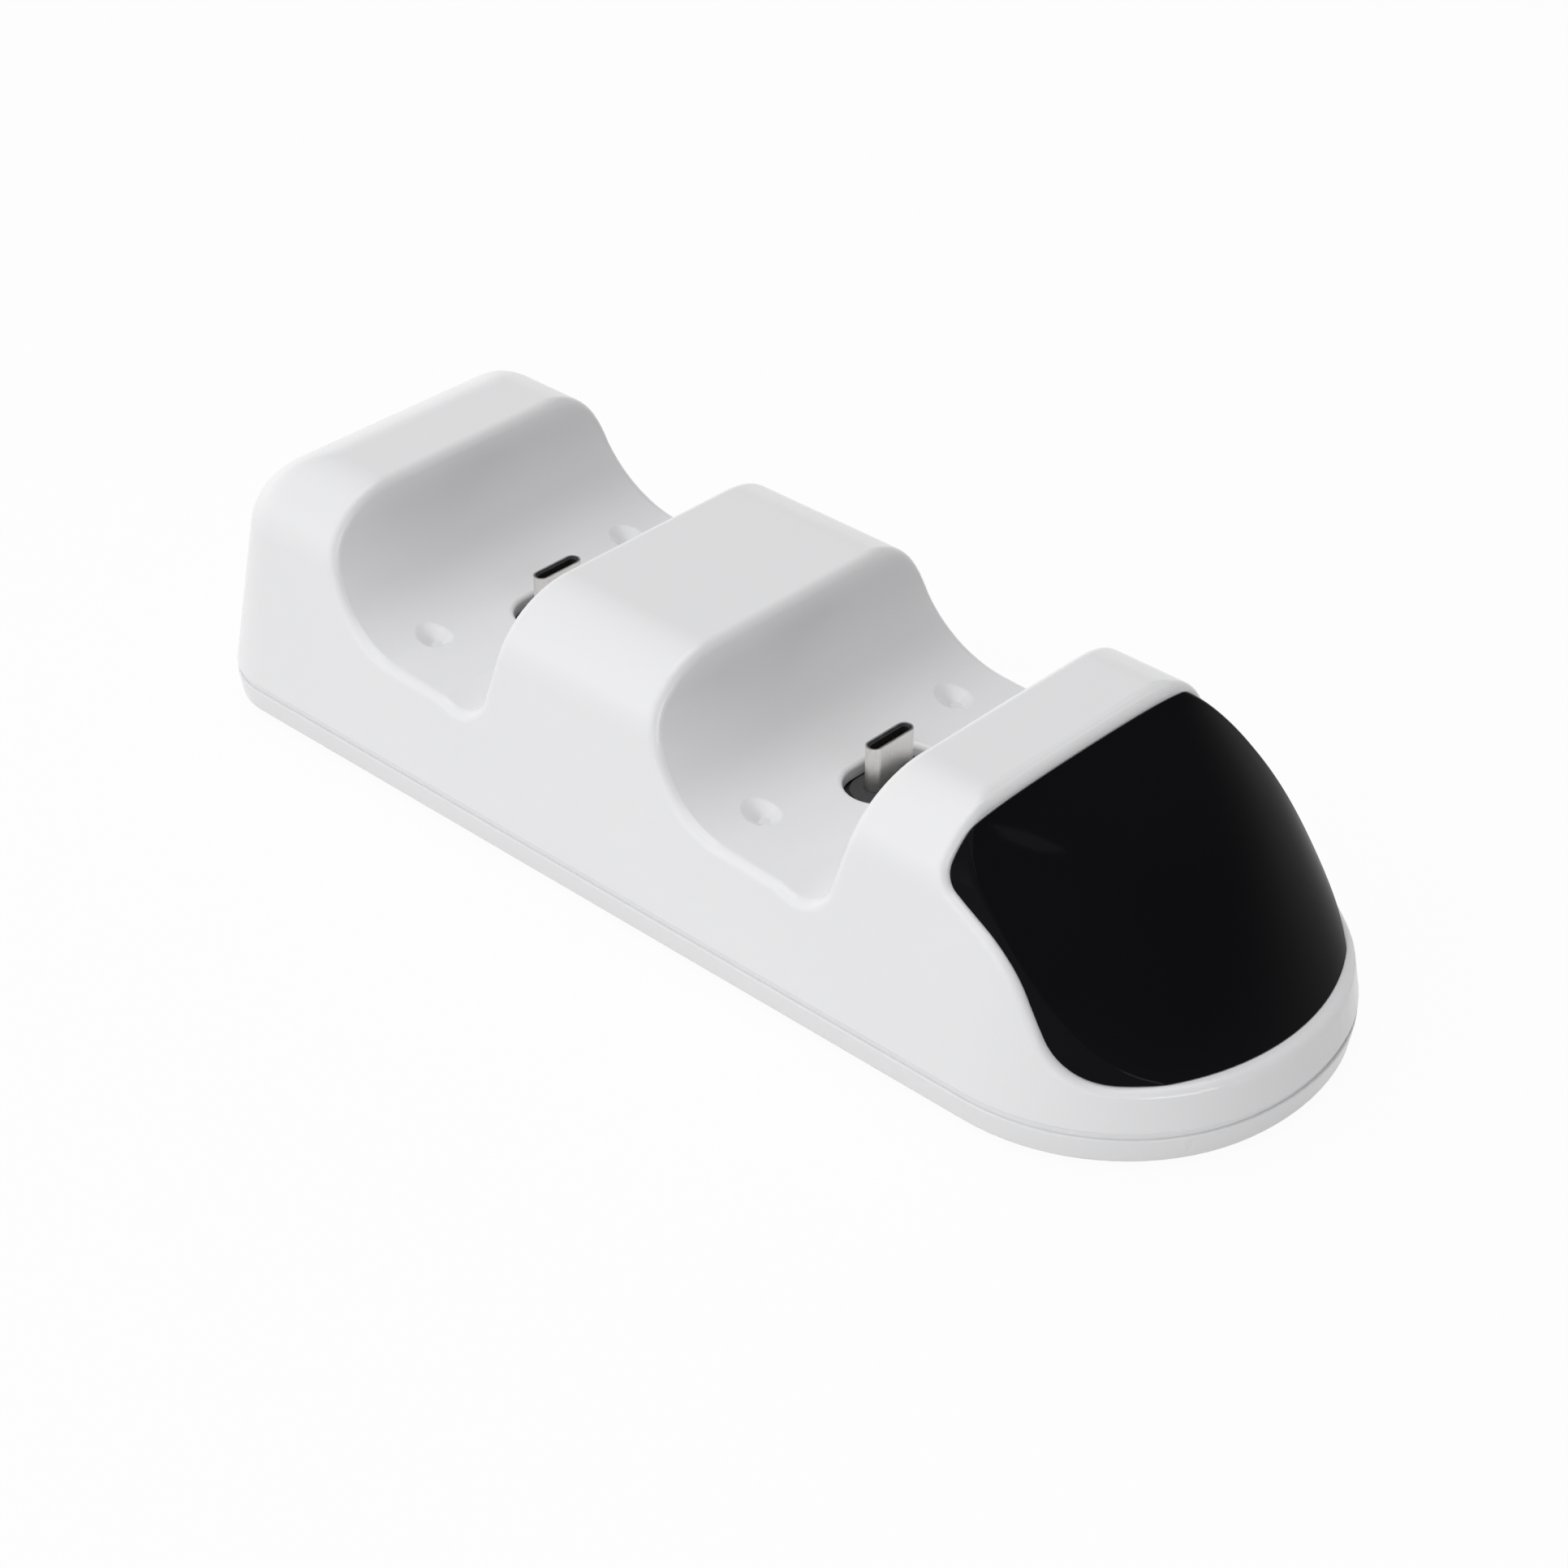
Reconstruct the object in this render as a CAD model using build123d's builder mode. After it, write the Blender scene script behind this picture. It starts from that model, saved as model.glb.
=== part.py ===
"""Twin charging dock for hand-held controllers, in millimetres.

A white moulded housing has three cross ridges and two open saddles, with a plug standing up
through each saddle's floor. The nose carries a smoked window. A shallow tray closes the base.
+X is across the dock, the nose points along -Y and +Z is up. The origin is on the table,
under the middle of the housing.
"""

import os
from math import hypot, radians, tan

from build123d import *

os.makedirs("parts", exist_ok=True)

# Housing
body_length = 174.4
body_width = 61.4
wall = 2.0
draft = 10.0
ridge_z = 38.4
edge_radius = 11.6
rear_corner_radius = 11.5
nose_crown = 5.3
nose_shoulder = 1.7

# Curved front of the nose
nose_top_run = 39.15
nose_rim_rise = 4.35
nose_arc_radius = 65.0
nose_bow = 3.6
nose_bow_gain = 0.34
nose_flattening = 16
nose_levels = (0.0, 0.3, 0.6, 0.8, 0.92, 1.0)
nose_edge_radius = 2.2

# Base tray and the shadow gap above it
foot_height = 0.7
base_height = 4.0
base_taper = 8.5
base_edge_radius = 0.9
seam_gap = 0.9
seam_edge_radius = 0.25
groove_depth = 0.4
tray_floor = 2.0
tongue_thickness = 1.4
tongue_rise = 1.8
fit = 0.15

# Saddles, measured from the plug
saddle_pitch = 62.7
rear_saddle_inset = 43.0
saddle_rear_wall = 16.9
saddle_rear_draft = 1.5
saddle_sweep_radius = 14.0
saddle_floor_z = 20.2
saddle_crease = 6.3
saddle_fall = 1.15
saddle_crease_radius = 4.0
trough_reach = 13.35
trough_drop = 1.55
trough_radius = 5.0
saddle_front_draft = 13.3
lip_radius = 1.4

# Locating dimples in the saddle floors
dimple_spacing = 37.6
dimple_y = 4.6
dimple_radius = 2.3
dimple_foot_radius = 0.8
dimple_depth = 1.0

# Plugs and their holders
plug_tip_z = 24.8
plug_width = 8.25
plug_thickness = 2.4
plug_wall = 0.25
plug_mouth_width = 7.0
plug_mouth_thickness = 1.2
plug_mouth_depth = 5.2
plug_root = 1.2
plug_fit = 0.05
contact_count = 6
contact_pitch = 0.9
contact_width = 0.35
contact_thickness = 0.12
contact_length = 4.0
hole_width = 14.8
hole_depth = 8.8
hole_lead = 0.5
floor_edge_radius = 0.7
holder_gap = 0.15
holder_flange = 1.5
holder_overlap = 1.4
holder_boss_gap = 0.9
holder_boss_rise = 1.3
holder_body_width = 13.0
holder_body_depth = 6.0
holder_corner_radius = 1.0

# Circuit board
board_z = 9.2
board_thickness = 1.6
board_width = 34.0
board_corner_radius = 1.5
board_rear_inset = 5.0
board_front_inset = 24.0
post_radius = 2.8
post_edge = 3.6
post_rear_inset = 21.2
post_front_inset = 38.0
chip_size = 5.0
chip_height = 1.0
chip_run = 22.0
capacitor_length = 3.2
capacitor_width = 1.6
capacitor_height = 1.3
capacitor_spacing = 8.0
capacitor_run = 15.0
resistor_length = 2.0
resistor_width = 1.25
resistor_height = 0.6
resistor_spacing = 4.0
resistor_run = 28.0

# Power socket in the rear wall
inlet_width = 8.94
inlet_height = 3.16
inlet_wall = 0.3
inlet_length = 7.4
inlet_setback = 0.5
inlet_margin = 0.35
inlet_back = 2.0
tongue_width = 6.6
tongue_thick = 0.7
tongue_setback = 0.8

# Smoked window
window_top_margin = 1.85
window_side_z = 30.6
window_waist_run = 25.8
window_waist_z = 25.2
window_foot_run = 17.6
window_bottom_z = 11.5
window_top_radius = 3.2
window_waist_radius = 16.0
window_foot_radius = 10.0
window_inset = 1.0
window_thickness = 1.0
window_glue = 0.05
window_ledge = 2.2
window_ledge_wall = 1.2
window_lip_radius = 1.1

# Indicator lamps and light guide
lamp_spacing = 18.0
lamp_front_edge = 4.0
lamp_length = 3.2
lamp_width = 2.8
lamp_height = 1.4
guide_gap = 0.3
guide_radius = 2.6
guide_bar_width = 28.0
guide_bar_depth = 6.0
guide_bar_height = 2.4
guide_leg = 2.4

# Screws and feet
foot_radius = 4.6
foot_sink = 0.7
foot_edge_radius = 0.4
screw_edge = 6.9
screw_rear_inset = 17.0
screw_front_inset = 43.0
screw_radius = 1.1
screw_head_radius = 2.1
screw_head_height = 1.5
screw_length = 9.0
screw_clearance = 0.2
thread_fit = 0.02
turret_radius = 3.9
turret_top = 5.6
boss_gap = 0.1
boss_radius = 3.2
boss_height = 20.0
boss_run_out = 1.0
board_screw_radius = 0.9
board_screw_head_radius = 1.9
board_screw_head_height = 1.2
board_screw_length = 5.6

# Heights and places that follow from the values above
base_z = foot_height
rim_z = base_z + base_height
seam_z = rim_z + seam_gap
tray_z = base_z + tray_floor
board_top = board_z + board_thickness
far_out = body_length
half_width = body_width / 2
rear_y = body_length / 2
tip_y = -body_length / 2
slope = tan(radians(draft))
rear_saddle_y = rear_y - rear_saddle_inset
front_saddle_y = rear_saddle_y - saddle_pitch
saddle_ys = (rear_saddle_y, front_saddle_y)
crease_z = saddle_floor_z - saddle_fall
trough_z = crease_z - trough_drop
floor_slope = saddle_fall / (saddle_rear_wall + saddle_crease)
saddle_rear_reach = saddle_rear_wall + (ridge_z - saddle_floor_z) * tan(radians(saddle_rear_draft))
saddle_front_reach = trough_reach + (ridge_z - trough_z) * tan(radians(saddle_front_draft))
holder_reach = hole_depth / 2 + holder_overlap + hole_lead
holder_top_z = crease_z + (saddle_crease - holder_reach) * floor_slope - wall - holder_gap
board_rear_y = rear_y - board_rear_inset
board_front_y = tip_y + board_front_inset
post_x = board_width / 2 - post_edge
screw_x = half_width - screw_edge
post_ys = (rear_y - post_rear_inset, tip_y + post_front_inset)
screw_ys = (rear_y - screw_rear_inset, tip_y + screw_front_inset)
post_places = [(x, y) for x in (-post_x, post_x) for y in post_ys]
screw_places = [(x, y) for x in (-screw_x, screw_x) for y in screw_ys]
screw_seat_z = base_z + foot_sink + screw_clearance + screw_head_height
screw_tip_z = screw_seat_z + screw_length
boss_z = turret_top + boss_gap
plug_root_z = board_top + plug_root
plug_inner_width = plug_width - 2 * plug_wall - 2 * plug_fit
plug_inner_thickness = plug_thickness - 2 * plug_wall - 2 * plug_fit
contact_row_pitch = plug_mouth_thickness - contact_thickness
dimple_z = crease_z + (saddle_crease + dimple_y) * floor_slope
dimple_top_radius = 2 * dimple_radius - dimple_foot_radius
inlet_z = board_top + inlet_height / 2
inlet_mouth_y = rear_y - (inlet_z - seam_z) * slope - inlet_setback
lamp_y = board_front_y + lamp_front_edge
window_back = window_inset + window_thickness
guide_z = board_top + lamp_height + guide_gap

# Centre of the arc that the nose follows from the ridge down to its rim
nose_rim_z = seam_z + nose_rim_rise
nose_rim_y = tip_y + nose_rim_rise * slope
nose_top_y = tip_y + nose_top_run
nose_run = nose_top_y - nose_rim_y
nose_rise = ridge_z - nose_rim_z
nose_chord = hypot(nose_run, nose_rise)
nose_lean = (nose_arc_radius**2 - nose_chord**2 / 4) ** 0.5 / nose_chord
nose_centre_y = (nose_top_y + nose_rim_y) / 2 + nose_rise * nose_lean
nose_centre_z = (ridge_z + nose_rim_z) / 2 - nose_run * nose_lean


def plan_outline(inset):
    """Plan of the housing at the seam, moved inwards: straight sides, rounded rear, full nose."""
    half = half_width - inset
    tip_radius = half + nose_crown
    tip_side_y = tip_y + inset + tip_radius - (tip_radius**2 - half**2) ** 0.5
    with BuildSketch() as plan:
        with BuildLine():
            sides = Polyline(
                (half, tip_side_y),
                (half, rear_y - inset),
                (-half, rear_y - inset),
                (-half, tip_side_y),
            )
            ThreePointArc(sides @ 1, (0, tip_y + inset), sides @ 0)
        make_face()
        fillet(plan.vertices().group_by(Axis.Y)[0], half - nose_shoulder)
        fillet(plan.vertices().group_by(Axis.Y)[-1], rear_corner_radius - inset)
    return plan.sketch


def nose_block(inset):
    """All that lies behind the nose's front, a round bow in plan that opens to a straight ridge."""
    reach = nose_arc_radius - inset
    low_z = nose_rim_z - nose_edge_radius
    top_z = ridge_z - inset
    half = half_width + nose_bow / 2 - inset
    with BuildPart() as block:
        for share in nose_levels:
            z = low_z + (top_z - low_z) * share
            bow = half_width + nose_bow - inset + nose_bow_gain * (z - nose_rim_z)
            bow = max(bow, half) / max(1 - share**nose_flattening, 0.01)
            front_y = nose_centre_y - (reach**2 - (z - nose_centre_z) ** 2) ** 0.5
            side_y = front_y + bow - (bow**2 - half**2) ** 0.5
            with BuildSketch(Plane.XY.offset(z)):
                with BuildLine():
                    front = ThreePointArc((-half, side_y), (0, front_y), (half, side_y))
                    Polyline(front @ 1, (half, far_out), (-half, far_out), front @ 0)
                make_face()
        loft()
        extrude(block.faces().sort_by(Axis.Z)[-1], amount=ridge_z)
        with BuildSketch(Plane.XY.offset(low_z)):
            Rectangle(2 * far_out, 2 * far_out)
        extrude(amount=-low_z)
    return block.part


def drafted_block(inset):
    """The housing's plan drawn up to the ridges with the walls' draft, moved inwards by inset."""
    with BuildPart() as block:
        with BuildSketch(Plane.XY.offset(seam_z)):
            add(plan_outline(inset))
        extrude(amount=ridge_z - inset - seam_z, taper=draft)
    return block.part


def housing_form(inset):
    """Closed form of the housing above the seam, moved inwards by inset."""
    with BuildPart() as form:
        add(drafted_block(inset))
        fillet(form.faces().sort_by(Axis.Z)[-1].edges(), edge_radius - inset)
        add(nose_block(inset), mode=Mode.INTERSECT)
        fronts = form.faces().filter_by(GeomType.BSPLINE).sort_by(SortBy.AREA)
        if nose_edge_radius > inset:
            fillet(fronts[-1].edges(), nose_edge_radius - inset)
    return form.part


def saddle_plane(y):
    """Side-view plane of a saddle, with its origin at the plug's place on the table."""
    return Plane(origin=(0, y, 0), x_dir=(0, 1, 0), z_dir=(1, 0, 0))


def saddle_profile(grow):
    """Side view of a saddle: upright rear wall, wide sweep, falling floor, trough, front wall."""
    over_z = ridge_z + edge_radius
    rear_top = saddle_rear_wall + (over_z - saddle_floor_z) * tan(radians(saddle_rear_draft))
    front_top = -trough_reach - (over_z - trough_z) * tan(radians(saddle_front_draft))
    with BuildSketch() as profile:
        with BuildLine():
            FilletPolyline(
                (rear_top, over_z),
                (saddle_rear_wall, saddle_floor_z),
                (-saddle_crease, crease_z),
                (-trough_reach, trough_z),
                (front_top, over_z),
                radius=[0, saddle_sweep_radius, saddle_crease_radius, trough_radius, 0],
                close=True,
            )
        make_face()
        if grow:
            offset(amount=grow)
    return profile.sketch


def saddle_cut(grow):
    """Both saddles as cutters that run right across the housing."""
    with BuildPart() as cut:
        for y in saddle_ys:
            with BuildSketch(saddle_plane(y)):
                add(saddle_profile(grow))
            extrude(amount=body_width, both=True)
    return cut.part


def on_saddle_rim(edge, y):
    """True for the edges where the saddle at y breaks through the housing's skin."""
    box = edge.bounding_box()
    middle = edge.center()
    in_reach = y - saddle_front_reach - fit < middle.Y < y + saddle_rear_reach + fit
    across = box.size.Y < fit and box.size.Z < fit
    return in_reach and box.min.Z > rim_z + lip_radius and not (across and middle.Z < ridge_z - fit)


def on_floor_rim(edge, y):
    """True for the rims of the dimples and the plug hole in the floor of the saddle at y."""
    middle = edge.center()
    at_floor = crease_z - fit < middle.Z < dimple_z + dimple_depth
    beside_x = abs(middle.X) < dimple_spacing / 2 + dimple_radius
    beside_y = abs(middle.Y - y) < dimple_y + dimple_radius
    return at_floor and beside_x and beside_y and edge.bounding_box().size.X < hole_width


def window_outline(grow):
    """Side view of the window: straight rear edge, waisted flank, level lower edge."""
    rear_line = nose_top_y - window_top_margin
    with BuildSketch() as outline:
        with BuildLine():
            FilletPolyline(
                (rear_line, ridge_z + wall),
                (rear_line, window_side_z),
                (tip_y + window_waist_run, window_waist_z),
                (tip_y + window_foot_run, window_bottom_z),
                (tip_y - wall, window_bottom_z),
                (tip_y - wall, ridge_z + wall),
                radius=[0, window_top_radius, window_waist_radius, window_foot_radius, 0, 0],
                close=True,
            )
        make_face()
        if grow:
            offset(amount=grow)
    return outline.sketch


# Frame that thickens the shell round the window
with BuildPart() as window_frame:
    with BuildSketch(Plane.YZ):
        add(window_outline(wall))
        add(window_outline(-window_ledge), mode=Mode.SUBTRACT)
    extrude(amount=body_width, both=True)
    add(housing_form(window_back + window_ledge_wall), mode=Mode.SUBTRACT)

# Hollow inside the shell: the housing form less its wall, the walls of the saddles and the frame
with BuildPart() as hollow:
    add(housing_form(wall))
    with BuildSketch(Plane.XY.offset(seam_z)):
        add(plan_outline(wall))
    extrude(amount=-seam_gap)
    add(saddle_cut(wall), mode=Mode.SUBTRACT)
    add(window_frame.part, mode=Mode.SUBTRACT)

# All that lies just behind the window, which the seat and the light guide end on
behind_window = housing_form(window_back + window_glue)

# Line that the window's seat follows in the side view
window_line = Plane.YZ * window_outline(fit)


def on_window_rim(edge):
    """True for the edges where the window's seat breaks through the nose's skin."""
    middle = edge.center()
    beside_line = window_line.wire().distance_to(Vertex(0, middle.Y, middle.Z)) < fit
    on_skin = behind_window.distance_to(Vertex(*middle)) > window_back / 2
    return beside_line and on_skin and edge.geom_type != GeomType.LINE


# Seat of the window, cut into the skin of the nose
with BuildPart() as window_seat:
    with BuildSketch(Plane.YZ):
        add(window_outline(fit))
    extrude(amount=body_width, both=True)
    add(behind_window, mode=Mode.SUBTRACT)

# Screw bosses that grow out of the shell's drafted side walls
with BuildPart() as bosses:
    with BuildSketch(Plane.XY.offset(boss_z)):
        with Locations(*screw_places):
            Circle(boss_radius)
    extrude(amount=boss_height)
    with BuildSketch(Plane.XY.offset(boss_z)):
        with Locations(*screw_places):
            Circle(screw_radius + thread_fit)
    extrude(amount=screw_tip_z + boss_run_out - boss_z, mode=Mode.SUBTRACT)
    add(drafted_block(wall / 2), mode=Mode.INTERSECT)

# Upper housing
with BuildPart() as top_shell:
    add(housing_form(0))
    fillet(top_shell.faces().sort_by(Axis.Z)[0].edges(), seam_edge_radius)
    add(saddle_cut(0), mode=Mode.SUBTRACT)
    for y in saddle_ys:
        fillet(top_shell.edges().filter_by(lambda edge: on_saddle_rim(edge, y)), lip_radius)
    with BuildSketch(Plane.XY.offset(seam_z)):
        add(plan_outline(groove_depth))
    extrude(amount=-seam_gap)
    add(hollow.part, mode=Mode.SUBTRACT)
    add(window_seat.part, mode=Mode.SUBTRACT)
    fillet(top_shell.edges().filter_by(on_window_rim), window_lip_radius)
    with BuildSketch(Plane.YZ):
        add(window_outline(-window_ledge))
    extrude(amount=body_width, both=True, mode=Mode.SUBTRACT)
    add(bosses.part)
    for y in saddle_ys:
        with Locations((0, y + dimple_y, dimple_z)):
            with GridLocations(dimple_spacing, 0, 2, 1):
                Cone(dimple_foot_radius, dimple_top_radius, 2 * dimple_depth, mode=Mode.SUBTRACT)
        with BuildSketch(Plane.XY.offset(holder_top_z)):
            with Locations((0, y - hole_lead)):
                SlotOverall(hole_width, hole_depth)
        extrude(amount=saddle_floor_z - holder_top_z, mode=Mode.SUBTRACT)
        fillet(top_shell.edges().filter_by(lambda edge: on_floor_rim(edge, y)), floor_edge_radius)
    with BuildSketch(Plane.XZ.offset(-inlet_mouth_y - wall)):
        with Locations((0, inlet_z)):
            SlotOverall(inlet_width + 2 * inlet_margin, inlet_height + 2 * inlet_margin)
    extrude(amount=2 * wall + inlet_setback, mode=Mode.SUBTRACT)
top_shell.part.label = "top_shell"
export_step(top_shell.part, "parts/top_shell.step")

# Base tray with its tongue, screw turrets and board posts
with BuildPart() as bottom_cover:
    with BuildSketch(Plane.XY.offset(rim_z)):
        add(plan_outline(0))
    extrude(amount=base_height, dir=(0, 0, -1), taper=base_taper)
    fillet(bottom_cover.faces().sort_by(Axis.Z)[0].edges(), base_edge_radius)
    fillet(bottom_cover.faces().sort_by(Axis.Z)[-1].edges(), seam_edge_radius)
    with BuildSketch(Plane.XY.offset(rim_z)):
        add(plan_outline(wall + fit))
    extrude(amount=seam_gap)
    with BuildSketch(Plane.XY.offset(seam_z)):
        add(plan_outline(wall + fit))
    extrude(amount=tongue_rise, taper=draft)
    with BuildSketch(Plane.XY.offset(tray_z)):
        add(plan_outline(wall + fit + tongue_thickness))
    extrude(amount=ridge_z, mode=Mode.SUBTRACT)
    with BuildSketch(Plane.XY.offset(tray_z)):
        with Locations(*screw_places):
            Circle(turret_radius)
    extrude(amount=turret_top - tray_z)
    with BuildSketch(Plane.XY.offset(tray_z)):
        with Locations(*post_places):
            Circle(post_radius)
    extrude(amount=board_z - tray_z)
    with BuildSketch(Plane.XY.offset(board_z)):
        with Locations(*post_places):
            Circle(board_screw_radius + thread_fit)
    extrude(amount=-board_screw_length, mode=Mode.SUBTRACT)
    with BuildSketch(Plane.XY.offset(base_z)):
        with Locations(*screw_places):
            Circle(screw_radius + screw_clearance)
    extrude(amount=turret_top, mode=Mode.SUBTRACT)
    with BuildSketch(Plane.XY.offset(base_z)):
        with Locations(*screw_places):
            Circle(screw_head_radius + screw_clearance)
    extrude(amount=screw_seat_z - base_z, mode=Mode.SUBTRACT)
    with BuildSketch(Plane.XY.offset(base_z)):
        with Locations(*screw_places):
            Circle(foot_radius + fit)
    extrude(amount=foot_sink, mode=Mode.SUBTRACT)
bottom_cover.part.label = "bottom_cover"
export_step(bottom_cover.part, "parts/bottom_cover.step")

# Smoked window in the nose
with BuildPart() as front_window:
    with BuildSketch(Plane.YZ):
        add(window_outline(0))
    extrude(amount=body_width, both=True)
    add(housing_form(window_inset), mode=Mode.INTERSECT)
    add(housing_form(window_back), mode=Mode.SUBTRACT)
front_window.part.label = "front_window"
export_step(front_window.part, "parts/front_window.step")

# Plugs: a drawn tube, a moulded insulator, contact leaves and a holder under each saddle's floor
for end, y in (("rear", rear_saddle_y), ("front", front_saddle_y)):
    with BuildPart() as plug_shell:
        with BuildSketch(Plane.XY.offset(plug_root_z)):
            with Locations((0, y)):
                SlotOverall(plug_width, plug_thickness)
                SlotOverall(plug_width - 2 * plug_wall, plug_thickness - 2 * plug_wall, mode=Mode.SUBTRACT)
        extrude(amount=plug_tip_z - plug_root_z)
    plug_shell.part.label = f"{end}_plug_shell"
    export_step(plug_shell.part, f"parts/{end}_plug_shell.step")

    with BuildPart() as plug_insulator:
        with BuildSketch(Plane.XY.offset(plug_root_z)):
            with Locations((0, y)):
                SlotOverall(plug_inner_width, plug_inner_thickness)
        extrude(amount=plug_tip_z - plug_wall - plug_root_z)
        with BuildSketch(Plane.XY.offset(plug_tip_z - plug_mouth_depth)):
            with Locations((0, y)):
                SlotOverall(plug_mouth_width, plug_mouth_thickness)
        extrude(amount=plug_mouth_depth, mode=Mode.SUBTRACT)
    plug_insulator.part.label = f"{end}_plug_insulator"
    export_step(plug_insulator.part, f"parts/{end}_plug_insulator.step")

    with BuildPart() as plug_contacts:
        with BuildSketch(Plane.XY.offset(plug_tip_z - plug_mouth_depth)):
            with Locations((0, y)):
                with GridLocations(contact_pitch, contact_row_pitch, contact_count, 2):
                    Rectangle(contact_width, contact_thickness)
        extrude(amount=contact_length)
    plug_contacts.part.label = f"{end}_plug_contacts"
    export_step(plug_contacts.part, f"parts/{end}_plug_contacts.step")

    with BuildPart() as plug_holder:
        with BuildSketch(Plane.XY.offset(board_top)):
            with Locations((0, y)):
                RectangleRounded(holder_body_width, holder_body_depth, holder_corner_radius)
        extrude(amount=holder_top_z - board_top)
        with BuildSketch(Plane.XY.offset(holder_top_z - holder_flange)):
            with Locations((0, y - hole_lead)):
                SlotOverall(hole_width + 2 * holder_overlap, hole_depth + 2 * holder_overlap)
        extrude(amount=holder_flange)
        with BuildSketch(Plane.XY.offset(holder_top_z)):
            with Locations((0, y - hole_lead)):
                SlotOverall(hole_width - 2 * holder_boss_gap, hole_depth - 2 * holder_boss_gap)
        extrude(amount=holder_boss_rise)
        with BuildSketch(Plane.XY.offset(plug_root_z)):
            with Locations((0, y)):
                SlotOverall(plug_width + 2 * plug_fit, plug_thickness + 2 * plug_fit)
        extrude(amount=plug_tip_z, mode=Mode.SUBTRACT)
    plug_holder.part.label = f"{end}_plug_holder"
    export_step(plug_holder.part, f"parts/{end}_plug_holder.step")

# Circuit board on the tray's posts
with BuildPart() as main_board:
    with BuildSketch(Plane.XY.offset(board_z)):
        with Locations((0, (board_rear_y + board_front_y) / 2)):
            RectangleRounded(board_width, board_rear_y - board_front_y, board_corner_radius)
        with Locations(*post_places):
            Circle(board_screw_radius + screw_clearance, mode=Mode.SUBTRACT)
    extrude(amount=board_thickness)
main_board.part.label = "main_board"
export_step(main_board.part, "parts/main_board.step")

# Power socket on the board's rear edge
with BuildPart() as inlet_shell:
    with BuildSketch(Plane.XZ.offset(-inlet_mouth_y)):
        with Locations((0, inlet_z)):
            SlotOverall(inlet_width, inlet_height)
            SlotOverall(inlet_width - 2 * inlet_wall, inlet_height - 2 * inlet_wall, mode=Mode.SUBTRACT)
    extrude(amount=inlet_length)
inlet_shell.part.label = "inlet_shell"
export_step(inlet_shell.part, "parts/inlet_shell.step")

with BuildPart() as inlet_tongue:
    with BuildSketch(Plane.XZ.offset(inlet_length - inlet_back - inlet_mouth_y)):
        with Locations((0, inlet_z)):
            SlotOverall(
                inlet_width - 2 * inlet_wall - 2 * plug_fit, inlet_height - 2 * inlet_wall - 2 * plug_fit
            )
    extrude(amount=inlet_back)
    with BuildSketch(Plane.XZ.offset(tongue_setback - inlet_mouth_y)):
        with Locations((0, inlet_z)):
            Rectangle(tongue_width, tongue_thick)
    extrude(amount=inlet_length - inlet_back - tongue_setback)
inlet_tongue.part.label = "inlet_tongue"
export_step(inlet_tongue.part, "parts/inlet_tongue.step")

# Parts soldered on the board, in front of each plug
with BuildPart() as charge_chips:
    with BuildSketch(Plane.XY.offset(board_top)):
        with Locations(*[(0, y - chip_run) for y in saddle_ys]):
            Rectangle(chip_size, chip_size)
    extrude(amount=chip_height)
charge_chips.part.label = "charge_chips"
export_step(charge_chips.part, "parts/charge_chips.step")

with BuildPart() as capacitors:
    with BuildSketch(Plane.XY.offset(board_top)):
        with Locations(*[(0, y - capacitor_run) for y in saddle_ys]):
            with GridLocations(capacitor_spacing, 1, 2, 1):
                Rectangle(capacitor_length, capacitor_width)
    extrude(amount=capacitor_height)
capacitors.part.label = "capacitors"
export_step(capacitors.part, "parts/capacitors.step")

with BuildPart() as resistors:
    with BuildSketch(Plane.XY.offset(board_top)):
        with Locations(*[(0, y - resistor_run) for y in saddle_ys]):
            with GridLocations(resistor_spacing, 1, 4, 1):
                Rectangle(resistor_width, resistor_length)
    extrude(amount=resistor_height)
resistors.part.label = "resistors"
export_step(resistors.part, "parts/resistors.step")

with BuildPart() as indicator_lamps:
    with BuildSketch(Plane.XY.offset(board_top)):
        with Locations((0, lamp_y)):
            with GridLocations(lamp_spacing, 1, 2, 1):
                Rectangle(lamp_length, lamp_width)
    extrude(amount=lamp_height)
indicator_lamps.part.label = "indicator_lamps"
export_step(indicator_lamps.part, "parts/indicator_lamps.step")

# Clear guide that stands on the board and leads the lamps' light up to the window
with BuildPart() as light_guide:
    with BuildSketch(Plane.XY.offset(guide_z)):
        with Locations((0, lamp_y)):
            RectangleRounded(guide_bar_width, guide_bar_depth, guide_leg / 2)
    extrude(amount=guide_bar_height)
    with BuildSketch(Plane.XY.offset(guide_z)):
        with Locations((0, lamp_y)):
            with GridLocations(guide_bar_width - guide_leg, 1, 2, 1):
                Circle(guide_leg / 2)
    extrude(amount=board_top - guide_z)
    with BuildSketch(Plane.XY.offset(guide_z)):
        with Locations((0, lamp_y)):
            with GridLocations(lamp_spacing, 1, 2, 1):
                Circle(guide_radius)
    extrude(amount=ridge_z)
    add(behind_window, mode=Mode.INTERSECT)
light_guide.part.label = "light_guide"
export_step(light_guide.part, "parts/light_guide.step")

# Screws
with BuildPart() as board_screws:
    with BuildSketch(Plane.XY.offset(board_top)):
        with Locations(*post_places):
            Circle(board_screw_head_radius)
    extrude(amount=board_screw_head_height)
    fillet(board_screws.faces().group_by(Axis.Z)[-1].edges(), board_screw_head_height / 2)
    with BuildSketch(Plane.XY.offset(board_top)):
        with Locations(*post_places):
            Circle(board_screw_radius)
    extrude(amount=-board_screw_length)
board_screws.part.label = "board_screws"
export_step(board_screws.part, "parts/board_screws.step")

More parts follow.
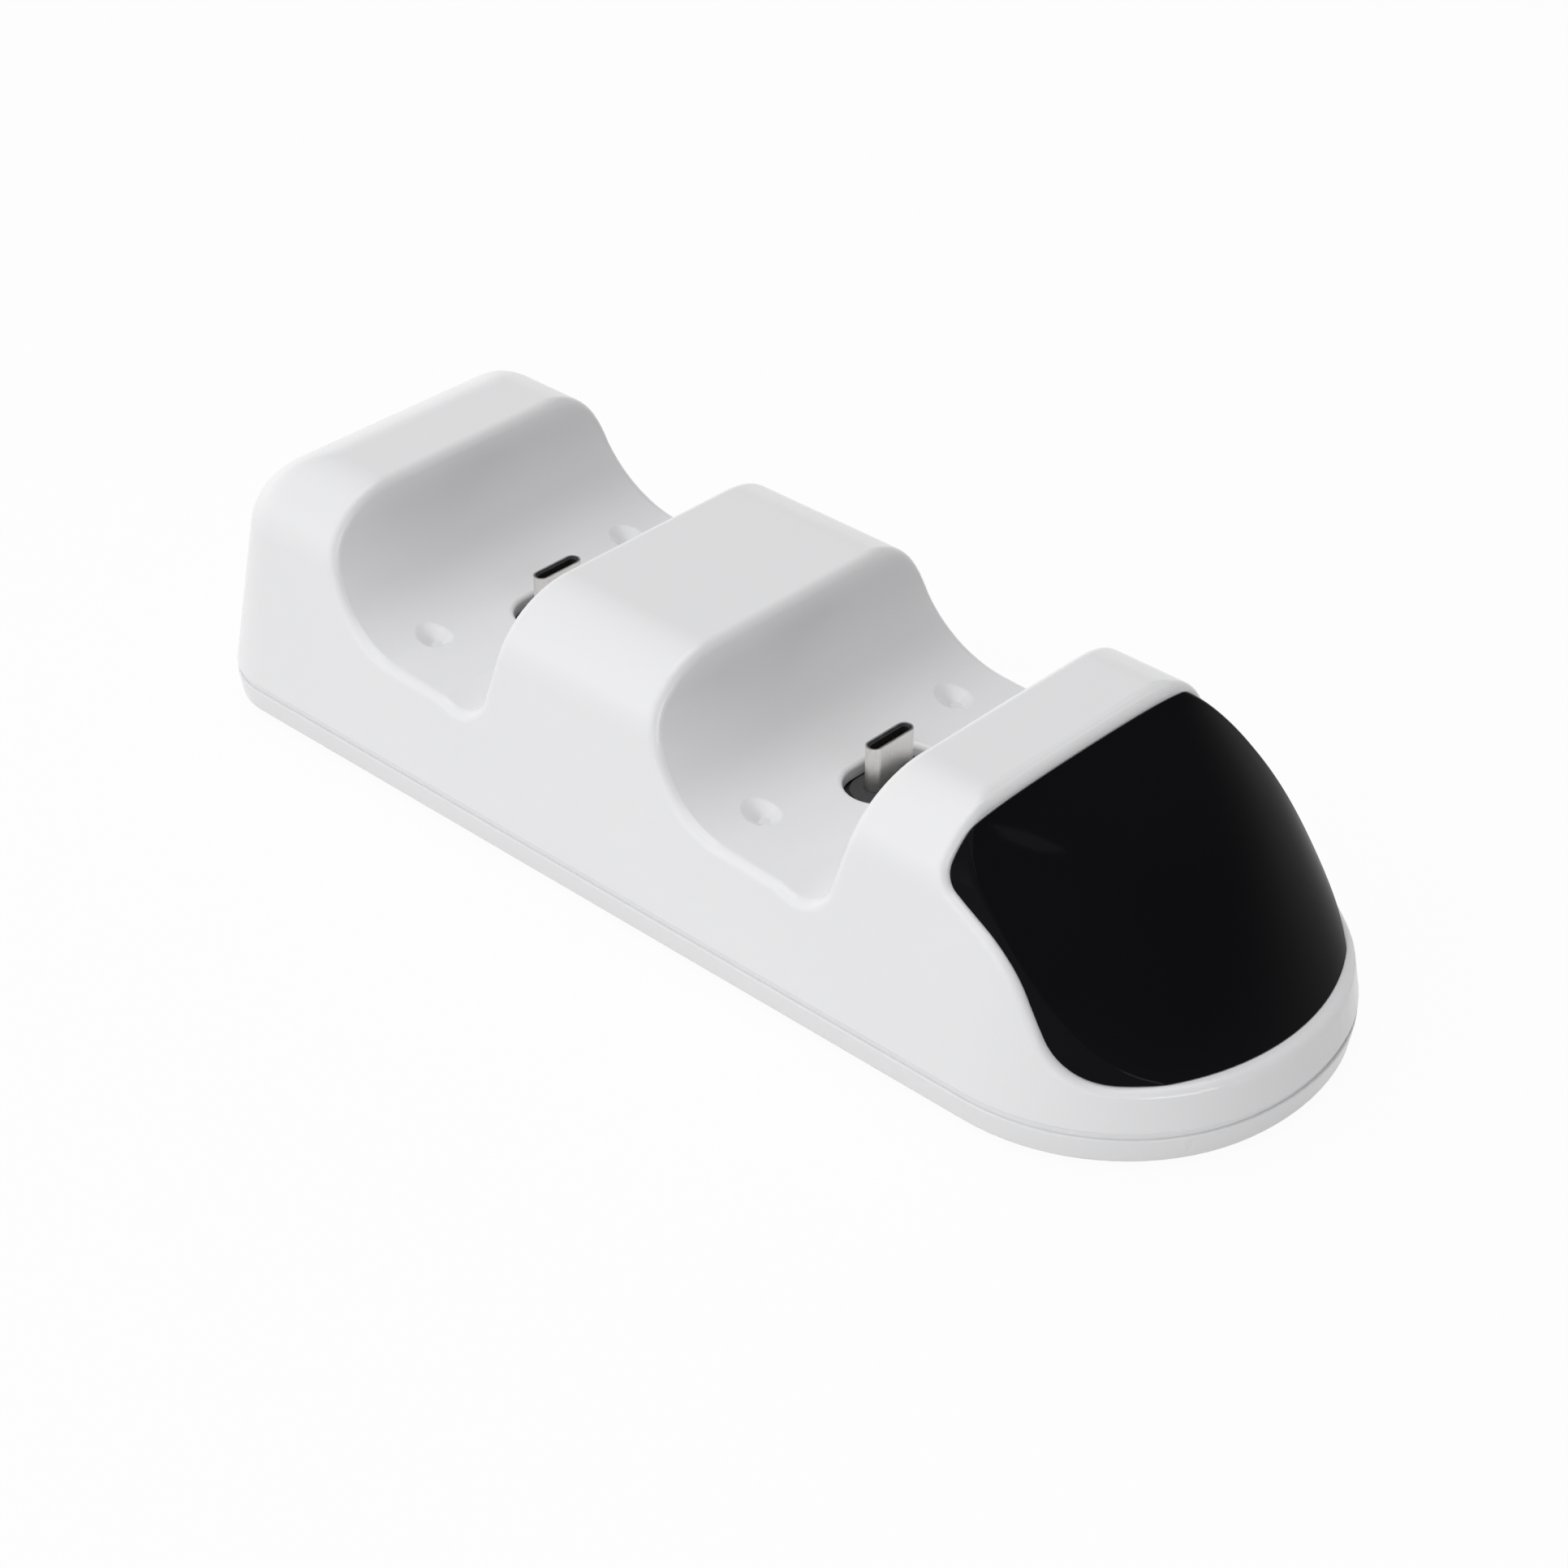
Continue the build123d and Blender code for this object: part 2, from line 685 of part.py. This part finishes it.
with BuildPart() as case_screws:
    with BuildSketch(Plane.XY.offset(screw_seat_z)):
        with Locations(*screw_places):
            Circle(screw_head_radius)
    extrude(amount=-screw_head_height)
    fillet(case_screws.faces().group_by(Axis.Z)[0].edges(), screw_head_height / 3)
    with BuildSketch(Plane.XY.offset(screw_seat_z)):
        with Locations(*screw_places):
            Circle(screw_radius)
    extrude(amount=screw_length)
case_screws.part.label = "case_screws"
export_step(case_screws.part, "parts/case_screws.step")

# Rubber feet that cover the case screws
for name, place in zip(("front_left", "rear_left", "front_right", "rear_right"), sorted(screw_places)):
    with BuildPart() as foot:
        with BuildSketch():
            with Locations(place):
                Circle(foot_radius)
        extrude(amount=base_z + foot_sink)
        fillet(foot.faces().sort_by(Axis.Z)[0].edges(), foot_edge_radius)
    foot.part.label = f"{name}_foot"
    export_step(foot.part, f"parts/{name}_foot.step")
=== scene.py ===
"""Looks of a charging dock for two hand-held controllers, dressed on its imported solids."""

import math

import bmesh
import bpy
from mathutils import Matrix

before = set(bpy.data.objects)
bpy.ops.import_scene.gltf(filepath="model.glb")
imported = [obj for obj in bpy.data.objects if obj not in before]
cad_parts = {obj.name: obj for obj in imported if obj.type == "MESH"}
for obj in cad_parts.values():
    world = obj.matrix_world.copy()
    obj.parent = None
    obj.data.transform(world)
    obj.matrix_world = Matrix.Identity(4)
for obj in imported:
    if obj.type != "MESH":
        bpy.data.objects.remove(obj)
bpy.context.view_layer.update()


# Bottom cover: the shallow tray that closes the housing from below and carries the board.
# Injection-moulded white ABS, polished on its rim and spark-textured underneath; four screws
# pull it up against the shell's bosses and leave a shadow gap all round.
def new_finish(name):
    finish = bpy.data.materials.new(name)
    finish.use_nodes = True
    tree = finish.node_tree
    place = tree.nodes.new("ShaderNodeTexCoord").outputs["Object"]
    return finish, tree, tree.nodes["Principled BSDF"], place


def add_math(tree, operation, first, second):
    node = tree.nodes.new("ShaderNodeMath")
    node.operation = operation
    for socket, value in zip(node.inputs, (first, second)):
        if isinstance(value, (int, float)):
            socket.default_value = value
        else:
            tree.links.new(value, socket)
    return node.outputs[0]


def add_noise(tree, place, scale, detail):
    node = tree.nodes.new("ShaderNodeTexNoise")
    tree.links.new(place, node.inputs["Vector"])
    if isinstance(scale, (int, float)):
        node.inputs["Scale"].default_value = scale
    else:
        tree.links.new(scale, node.inputs["Scale"])
    node.inputs["Detail"].default_value = detail
    return node.outputs["Fac"]


def add_blend(tree, share, first, second):
    node = tree.nodes.new("ShaderNodeMix")
    node.data_type = "RGBA"
    tree.links.new(share, node.inputs[0])
    for socket, value in ((node.inputs[6], first), (node.inputs[7], second)):
        if isinstance(value, tuple):
            socket.default_value = value
        else:
            tree.links.new(value, socket)
    return node.outputs[2]


def add_bump(tree, height, strength, depth, shader):
    node = tree.nodes.new("ShaderNodeBump")
    node.inputs["Strength"].default_value = strength
    node.inputs["Distance"].default_value = depth
    tree.links.new(height, node.inputs["Height"])
    tree.links.new(node.outputs["Normal"], shader.inputs["Normal"])


def make_moulded_skin():
    group = bpy.data.node_groups.new("moulded_skin", "ShaderNodeTree")
    sockets = group.interface
    sockets.new_socket("Place", in_out="INPUT", socket_type="NodeSocketVector")
    sockets.new_socket("Colour", in_out="INPUT", socket_type="NodeSocketColor")
    sockets.new_socket("Flow Colour", in_out="INPUT", socket_type="NodeSocketColor")
    sockets.new_socket("Polish", in_out="INPUT", socket_type="NodeSocketFloat")
    sockets.new_socket("Haze", in_out="INPUT", socket_type="NodeSocketFloat")
    sockets.new_socket("Grain", in_out="INPUT", socket_type="NodeSocketFloat")
    sockets.new_socket("Colour", in_out="OUTPUT", socket_type="NodeSocketColor")
    sockets.new_socket("Roughness", in_out="OUTPUT", socket_type="NodeSocketFloat")
    sockets.new_socket("Height", in_out="OUTPUT", socket_type="NodeSocketFloat")
    given = group.nodes.new("NodeGroupInput").outputs
    result = group.nodes.new("NodeGroupOutput").inputs
    flow = add_noise(group, given["Place"], scale=38.0, detail=3.0)
    smear = add_noise(group, given["Place"], scale=140.0, detail=4.0)
    grain = add_noise(group, given["Place"], scale=given["Grain"], detail=2.0)
    uneven = add_math(group, "ADD", add_math(group, "SUBTRACT", smear, 0.5),
                      add_math(group, "SUBTRACT", flow, 0.5))
    haze = add_math(group, "MULTIPLY", uneven, given["Haze"])
    tint = add_blend(group, flow, given["Colour"], given["Flow Colour"])
    group.links.new(tint, result["Colour"])
    group.links.new(add_math(group, "ADD", given["Polish"], haze), result["Roughness"])
    group.links.new(grain, result["Height"])
    return group


moulded_skin = make_moulded_skin()


def skin_on(tree, shader, place, colour, flow_colour, polish, haze, grain, bump, depth):
    skin = tree.nodes.new("ShaderNodeGroup")
    skin.node_tree = moulded_skin
    tree.links.new(place, skin.inputs["Place"])
    skin.inputs["Colour"].default_value = colour
    skin.inputs["Flow Colour"].default_value = flow_colour
    skin.inputs["Polish"].default_value = polish
    skin.inputs["Haze"].default_value = haze
    skin.inputs["Grain"].default_value = grain
    tree.links.new(skin.outputs["Colour"], shader.inputs["Base Color"])
    tree.links.new(skin.outputs["Roughness"], shader.inputs["Roughness"])
    add_bump(tree, skin.outputs["Height"], bump, depth, shader)
    return skin


def give_finish(finish, *names):
    for name in names:
        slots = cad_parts[name].data.materials
        slots.clear()
        slots.append(finish)


white_base, tree, shader, place = new_finish("white_base_abs")
skin_on(tree, shader, place, (0.80, 0.80, 0.81, 1), (0.78, 0.78, 0.79, 1),
        polish=0.30, haze=0.10, grain=900.0, bump=0.06, depth=0.0001)
shader.inputs["IOR"].default_value = 1.52
give_finish(white_base, "bottom_cover")


# Main board: the glass-fibre circuit board that carries every electric part.
# Green solder mask over a woven laminate, screwed to the bottom cover's posts.
mask_green, tree, shader, place = new_finish("solder_mask_green")
weave = tree.nodes.new("ShaderNodeTexBrick")
tree.links.new(place, weave.inputs["Vector"])
weave.inputs["Scale"].default_value = 900.0
weave.inputs["Color1"].default_value = (0.020, 0.125, 0.050, 1)
weave.inputs["Color2"].default_value = (0.026, 0.145, 0.060, 1)
weave.inputs["Mortar"].default_value = (0.016, 0.100, 0.042, 1)
tree.links.new(weave.outputs["Color"], shader.inputs["Base Color"])
gloss = add_noise(tree, place, scale=120.0, detail=3.0)
polish = add_math(tree, "ADD", 0.26, add_math(tree, "MULTIPLY", gloss, 0.12))
tree.links.new(polish, shader.inputs["Roughness"])
add_bump(tree, weave.outputs["Fac"], 0.10, 0.00005, shader)
give_finish(mask_green, "main_board")


# Charge chips, capacitors and resistors: the parts soldered on the board.
# Black moulded epoxy, fired tan ceramic and dark film on ceramic, all fixed by solder.
chip_black, tree, shader, place = new_finish("chip_epoxy_black")
skin_on(tree, shader, place, (0.020, 0.020, 0.021, 1), (0.026, 0.026, 0.027, 1),
        polish=0.52, haze=0.12, grain=4200.0, bump=0.20, depth=0.00004)
give_finish(chip_black, "charge_chips")

ceramic_tan, tree, shader, place = new_finish("capacitor_ceramic_tan")
skin_on(tree, shader, place, (0.42, 0.30, 0.18, 1), (0.48, 0.36, 0.22, 1),
        polish=0.42, haze=0.10, grain=5200.0, bump=0.12, depth=0.00003)
give_finish(ceramic_tan, "capacitors")

film_black, tree, shader, place = new_finish("resistor_film_black")
skin_on(tree, shader, place, (0.022, 0.022, 0.026, 1), (0.034, 0.034, 0.038, 1),
        polish=0.36, haze=0.08, grain=5200.0, bump=0.10, depth=0.00003)
give_finish(film_black, "resistors")


# Indicator lamps and light guide: lamps at the board's front edge and the clear bar that
# takes their light to the window. Cast epoxy and polished acrylic; the bar is glued in.
lamp_epoxy, tree, shader, place = new_finish("lamp_epoxy_pale")
skin_on(tree, shader, place, (0.80, 0.77, 0.55, 1), (0.86, 0.82, 0.58, 1),
        polish=0.14, haze=0.06, grain=2600.0, bump=0.04, depth=0.00003)
shader.inputs["Subsurface Weight"].default_value = 0.15
shader.inputs["Subsurface Scale"].default_value = 0.0006
give_finish(lamp_epoxy, "indicator_lamps")

guide_clear, tree, shader, place = new_finish("light_guide_clear")
skin_on(tree, shader, place, (0.92, 0.94, 0.95, 1), (0.95, 0.96, 0.97, 1),
        polish=0.06, haze=0.06, grain=1400.0, bump=0.03, depth=0.00003)
shader.inputs["Transmission Weight"].default_value = 0.9
shader.inputs["IOR"].default_value = 1.49
give_finish(guide_clear, "light_guide")


# Plug shells and inlet shell: seamless tubes drawn from steel strip and nickel plated.
# Each is crimped on its insulator and soldered through the board by its lower end.
def make_drawn_metal():
    group = bpy.data.node_groups.new("drawn_metal", "ShaderNodeTree")
    sockets = group.interface
    sockets.new_socket("Place", in_out="INPUT", socket_type="NodeSocketVector")
    sockets.new_socket("Bright", in_out="INPUT", socket_type="NodeSocketColor")
    sockets.new_socket("Dull", in_out="INPUT", socket_type="NodeSocketColor")
    sockets.new_socket("Polish", in_out="INPUT", socket_type="NodeSocketFloat")
    sockets.new_socket("Haze", in_out="INPUT", socket_type="NodeSocketFloat")
    sockets.new_socket("Colour", in_out="OUTPUT", socket_type="NodeSocketColor")
    sockets.new_socket("Roughness", in_out="OUTPUT", socket_type="NodeSocketFloat")
    sockets.new_socket("Height", in_out="OUTPUT", socket_type="NodeSocketFloat")
    given = group.nodes.new("NodeGroupInput").outputs
    result = group.nodes.new("NodeGroupOutput").inputs
    along = group.nodes.new("ShaderNodeMapping")
    along.inputs["Scale"].default_value = (9000.0, 9000.0, 260.0)
    group.links.new(given["Place"], along.inputs["Vector"])
    lines = add_noise(group, along.outputs["Vector"], scale=1.0, detail=2.0)
    stain = add_noise(group, given["Place"], scale=520.0, detail=4.0)
    rub = add_math(group, "MULTIPLY", add_math(group, "ADD", lines, stain), 0.5)
    group.links.new(add_blend(group, rub, given["Dull"], given["Bright"]), result["Colour"])
    haze = add_math(group, "MULTIPLY", add_math(group, "SUBTRACT", stain, 0.5), given["Haze"])
    group.links.new(add_math(group, "ADD", given["Polish"], haze), result["Roughness"])
    group.links.new(lines, result["Height"])
    return group


drawn_metal = make_drawn_metal()


def metal_on(tree, shader, place, bright, dull, polish, haze, bump):
    metal = tree.nodes.new("ShaderNodeGroup")
    metal.node_tree = drawn_metal
    tree.links.new(place, metal.inputs["Place"])
    metal.inputs["Bright"].default_value = bright
    metal.inputs["Dull"].default_value = dull
    metal.inputs["Polish"].default_value = polish
    metal.inputs["Haze"].default_value = haze
    tree.links.new(metal.outputs["Colour"], shader.inputs["Base Color"])
    tree.links.new(metal.outputs["Roughness"], shader.inputs["Roughness"])
    shader.inputs["Metallic"].default_value = 1.0
    add_bump(tree, metal.outputs["Height"], bump, 0.00002, shader)


plug_nickel, tree, shader, place = new_finish("plug_nickel_steel")
metal_on(tree, shader, place, (0.83, 0.815, 0.79, 1), (0.66, 0.645, 0.625, 1),
         polish=0.30, haze=0.20, bump=0.16)
give_finish(plug_nickel, "rear_plug_shell", "front_plug_shell", "inlet_shell")


# Plug insulators and inlet tongue: black glass-filled nylon mouldings with a fine dull skin.
# The insulators line the plugs and the tongue stands in the inlet, each pressed into its shell.
nylon_black, tree, shader, place = new_finish("glass_filled_nylon_black")
skin_on(tree, shader, place, (0.018, 0.018, 0.019, 1), (0.026, 0.026, 0.027, 1),
        polish=0.46, haze=0.14, grain=2400.0, bump=0.22, depth=0.00006)
give_finish(nylon_black, "rear_plug_insulator", "front_plug_insulator", "inlet_tongue")


# Plug holders: the seats that stand on the board and keep the plugs upright in their holes.
# Nylon moulded in a spark-eroded tool, so their tops are dark grey and coarsely grained.
nylon_grey, tree, shader, place = new_finish("grained_nylon_grey")
skin_on(tree, shader, place, (0.034, 0.034, 0.035, 1), (0.060, 0.060, 0.062, 1),
        polish=0.58, haze=0.14, grain=2600.0, bump=0.55, depth=0.00014)
give_finish(nylon_grey, "rear_plug_holder", "front_plug_holder")


# Plug contacts: the rows of leaves that meet the contacts of the controller's socket.
# Stamped from copper strip, flash gilded, and pressed into the plug insulators.
contact_gilt, tree, shader, place = new_finish("contact_gilt_copper")
metal_on(tree, shader, place, (0.86, 0.64, 0.30, 1), (0.72, 0.52, 0.24, 1),
         polish=0.24, haze=0.10, bump=0.06)
give_finish(contact_gilt, "rear_plug_contacts", "front_plug_contacts")


# Front window: the bowed smoked lens in the nose that the lamps shine through.
# Polycarbonate tinted almost black, polished, glued on the ledge of its opening.
window_smoke, tree, shader, place = new_finish("smoked_window")
skin_on(tree, shader, place, (0.0044, 0.0044, 0.0052, 1), (0.0058, 0.0058, 0.0066, 1),
        polish=0.08, haze=0.06, grain=700.0, bump=0.02, depth=0.00004)
shader.inputs["Specular IOR Level"].default_value = 0.03
give_finish(window_smoke, "front_window")


# Top shell: the one-piece upper housing with its three ridges and two saddles.
# Injection-moulded white ABS from a polished tool, so its skin is glossy and faintly wavy.
white_gloss, tree, shader, place = new_finish("white_gloss_abs")
skin_on(tree, shader, place, (0.80, 0.80, 0.81, 1), (0.785, 0.785, 0.797, 1),
        polish=0.22, haze=0.08, grain=420.0, bump=0.04, depth=0.0001)
shader.inputs["IOR"].default_value = 1.52
give_finish(white_gloss, "top_shell")


# Board screws and case screws: small pan-head screws, rolled from steel wire and plated.
# They hold the board on its posts and the bottom cover to the shell.
screw_plate, tree, shader, place = new_finish("plated_screw_steel")
metal_on(tree, shader, place, (0.58, 0.58, 0.59, 1), (0.40, 0.40, 0.42, 1),
         polish=0.32, haze=0.18, bump=0.10)
give_finish(screw_plate, "board_screws", "case_screws")


# Feet: four round pads that keep the dock from sliding and hide the case screws.
# Punched from matt black rubber sheet and stuck in shallow recesses of the bottom cover.
foot_rubber, tree, shader, place = new_finish("foot_rubber_black")
skin_on(tree, shader, place, (0.045, 0.045, 0.046, 1), (0.060, 0.060, 0.061, 1),
        polish=0.72, haze=0.16, grain=1800.0, bump=0.35, depth=0.00012)
give_finish(foot_rubber, "rear_left_foot", "rear_right_foot", "front_left_foot", "front_right_foot")


# Floor: a wide pale table top under the dock, white to the camera, to gloss and to glass.
# A small share of plain matt cloth is left in what the camera sees, so the shadow stays.
table_half_width = 3.0
white_share = 0.95


def add_seen(tree, path):
    mirrored = add_math(tree, "MAXIMUM", path.outputs["Is Glossy Ray"], path.outputs["Is Transmission Ray"])
    return add_math(tree, "MAXIMUM", path.outputs["Is Camera Ray"], mirrored)


table = bmesh.new()
bmesh.ops.create_grid(table, x_segments=1, y_segments=1, size=table_half_width)
floor_mesh = bpy.data.meshes.new("floor")
table.to_mesh(floor_mesh)
table.free()
floor = bpy.data.objects.new("floor", floor_mesh)
bpy.context.scene.collection.objects.link(floor)
paper = bpy.data.materials.new("floor_paper")
paper.use_nodes = True
tree = paper.node_tree
tree.nodes.clear()
path = tree.nodes.new("ShaderNodeLightPath")
seen = add_seen(tree, path)
cloth = tree.nodes.new("ShaderNodeBsdfDiffuse")
cloth.inputs["Color"].default_value = (0.72, 0.72, 0.72, 1)
glow = tree.nodes.new("ShaderNodeEmission")
glow.inputs["Color"].default_value = (1, 1, 1, 1)
glow.inputs["Strength"].default_value = 1.0
mix = tree.nodes.new("ShaderNodeMixShader")
tree.links.new(add_math(tree, "MULTIPLY", seen, white_share), mix.inputs["Fac"])
tree.links.new(cloth.outputs[0], mix.inputs[1])
tree.links.new(glow.outputs[0], mix.inputs[2])
surface = tree.nodes.new("ShaderNodeOutputMaterial")
tree.links.new(mix.outputs[0], surface.inputs["Surface"])
floor_mesh.materials.append(paper)


# World: white behind the dock up to the horizon and dim overhead. Its soft light on the dock is
# strongest from the left and from behind.
world = bpy.data.worlds.new("studio")
bpy.context.scene.world = world
world.use_nodes = True
tree = world.node_tree
outward = tree.nodes.new("ShaderNodeTexCoord").outputs["Generated"]
lean = tree.nodes.new("ShaderNodeVectorMath")
lean.operation = "DOT_PRODUCT"
lean.inputs[1].default_value = (-0.28, 0.53, -0.14)
tree.links.new(outward, lean.inputs[0])
soft = add_math(tree, "ADD", 0.67, lean.outputs["Value"])
height = tree.nodes.new("ShaderNodeSeparateXYZ")
tree.links.new(outward, height.inputs["Vector"])
backdrop = tree.nodes.new("ShaderNodeMapRange")
backdrop.interpolation_type = "SMOOTHSTEP"
backdrop.inputs["From Min"].default_value = 0.10
backdrop.inputs["From Max"].default_value = 0.55
backdrop.inputs["To Min"].default_value = 1.0
backdrop.inputs["To Max"].default_value = 0.15
tree.links.new(height.outputs["Z"], backdrop.inputs["Value"])
path = tree.nodes.new("ShaderNodeLightPath")
seen = add_seen(tree, path)
level = tree.nodes.new("ShaderNodeMix")
tree.links.new(seen, level.inputs[0])
tree.links.new(soft, level.inputs[2])
tree.links.new(backdrop.outputs["Result"], level.inputs[3])
sky = tree.nodes["Background"]
sky.inputs["Color"].default_value = (1, 1, 1, 1)
tree.links.new(level.outputs[0], sky.inputs["Strength"])


# Lamps: a wide weak soft box on the left, another overhead, and a low strip in front of the nose.
# Radiance is the brightness of a box's own face, so its power follows from its size.
def add_softbox(name, place, width, height, radiance):
    lamp = bpy.data.lights.new(name, "AREA")
    lamp.shape = "RECTANGLE"
    lamp.size = width
    lamp.size_y = height
    lamp.energy = radiance * width * height * math.pi
    box = bpy.data.objects.new(name, lamp)
    bpy.context.scene.collection.objects.link(box)
    box.location = place
    aim = -box.location.copy()
    box.rotation_euler = aim.to_track_quat("-Z", "Y").to_euler()


add_softbox("left_softbox", (-0.62, 0.10, 0.42), width=0.90, height=0.80, radiance=0.54)
add_softbox("top_softbox", (0.0, 0.05, 0.90), width=0.80, height=0.80, radiance=1.34)
add_softbox("front_strip", (-0.20, -0.80, 0.06), width=0.60, height=0.10, radiance=5.65)


# Camera: where the photograph was taken from, with the length of its lens.
# It looks down on the dock from its near front corner.
look_down = math.radians(34.3155)
look_round = math.radians(-46.7205)
lens = bpy.data.cameras.new("camera")
lens.sensor_fit = "HORIZONTAL"
lens.sensor_width = 36.0
lens.lens = 77.19
eye = bpy.data.objects.new("camera", lens)
bpy.context.scene.collection.objects.link(eye)
eye.location = (-0.274717, -0.258335, 0.265974)
eye.rotation_euler = (math.pi / 2 - look_down, 0.0, look_round)
bpy.context.scene.camera = eye
bpy.context.scene.view_settings.view_transform = "Standard"
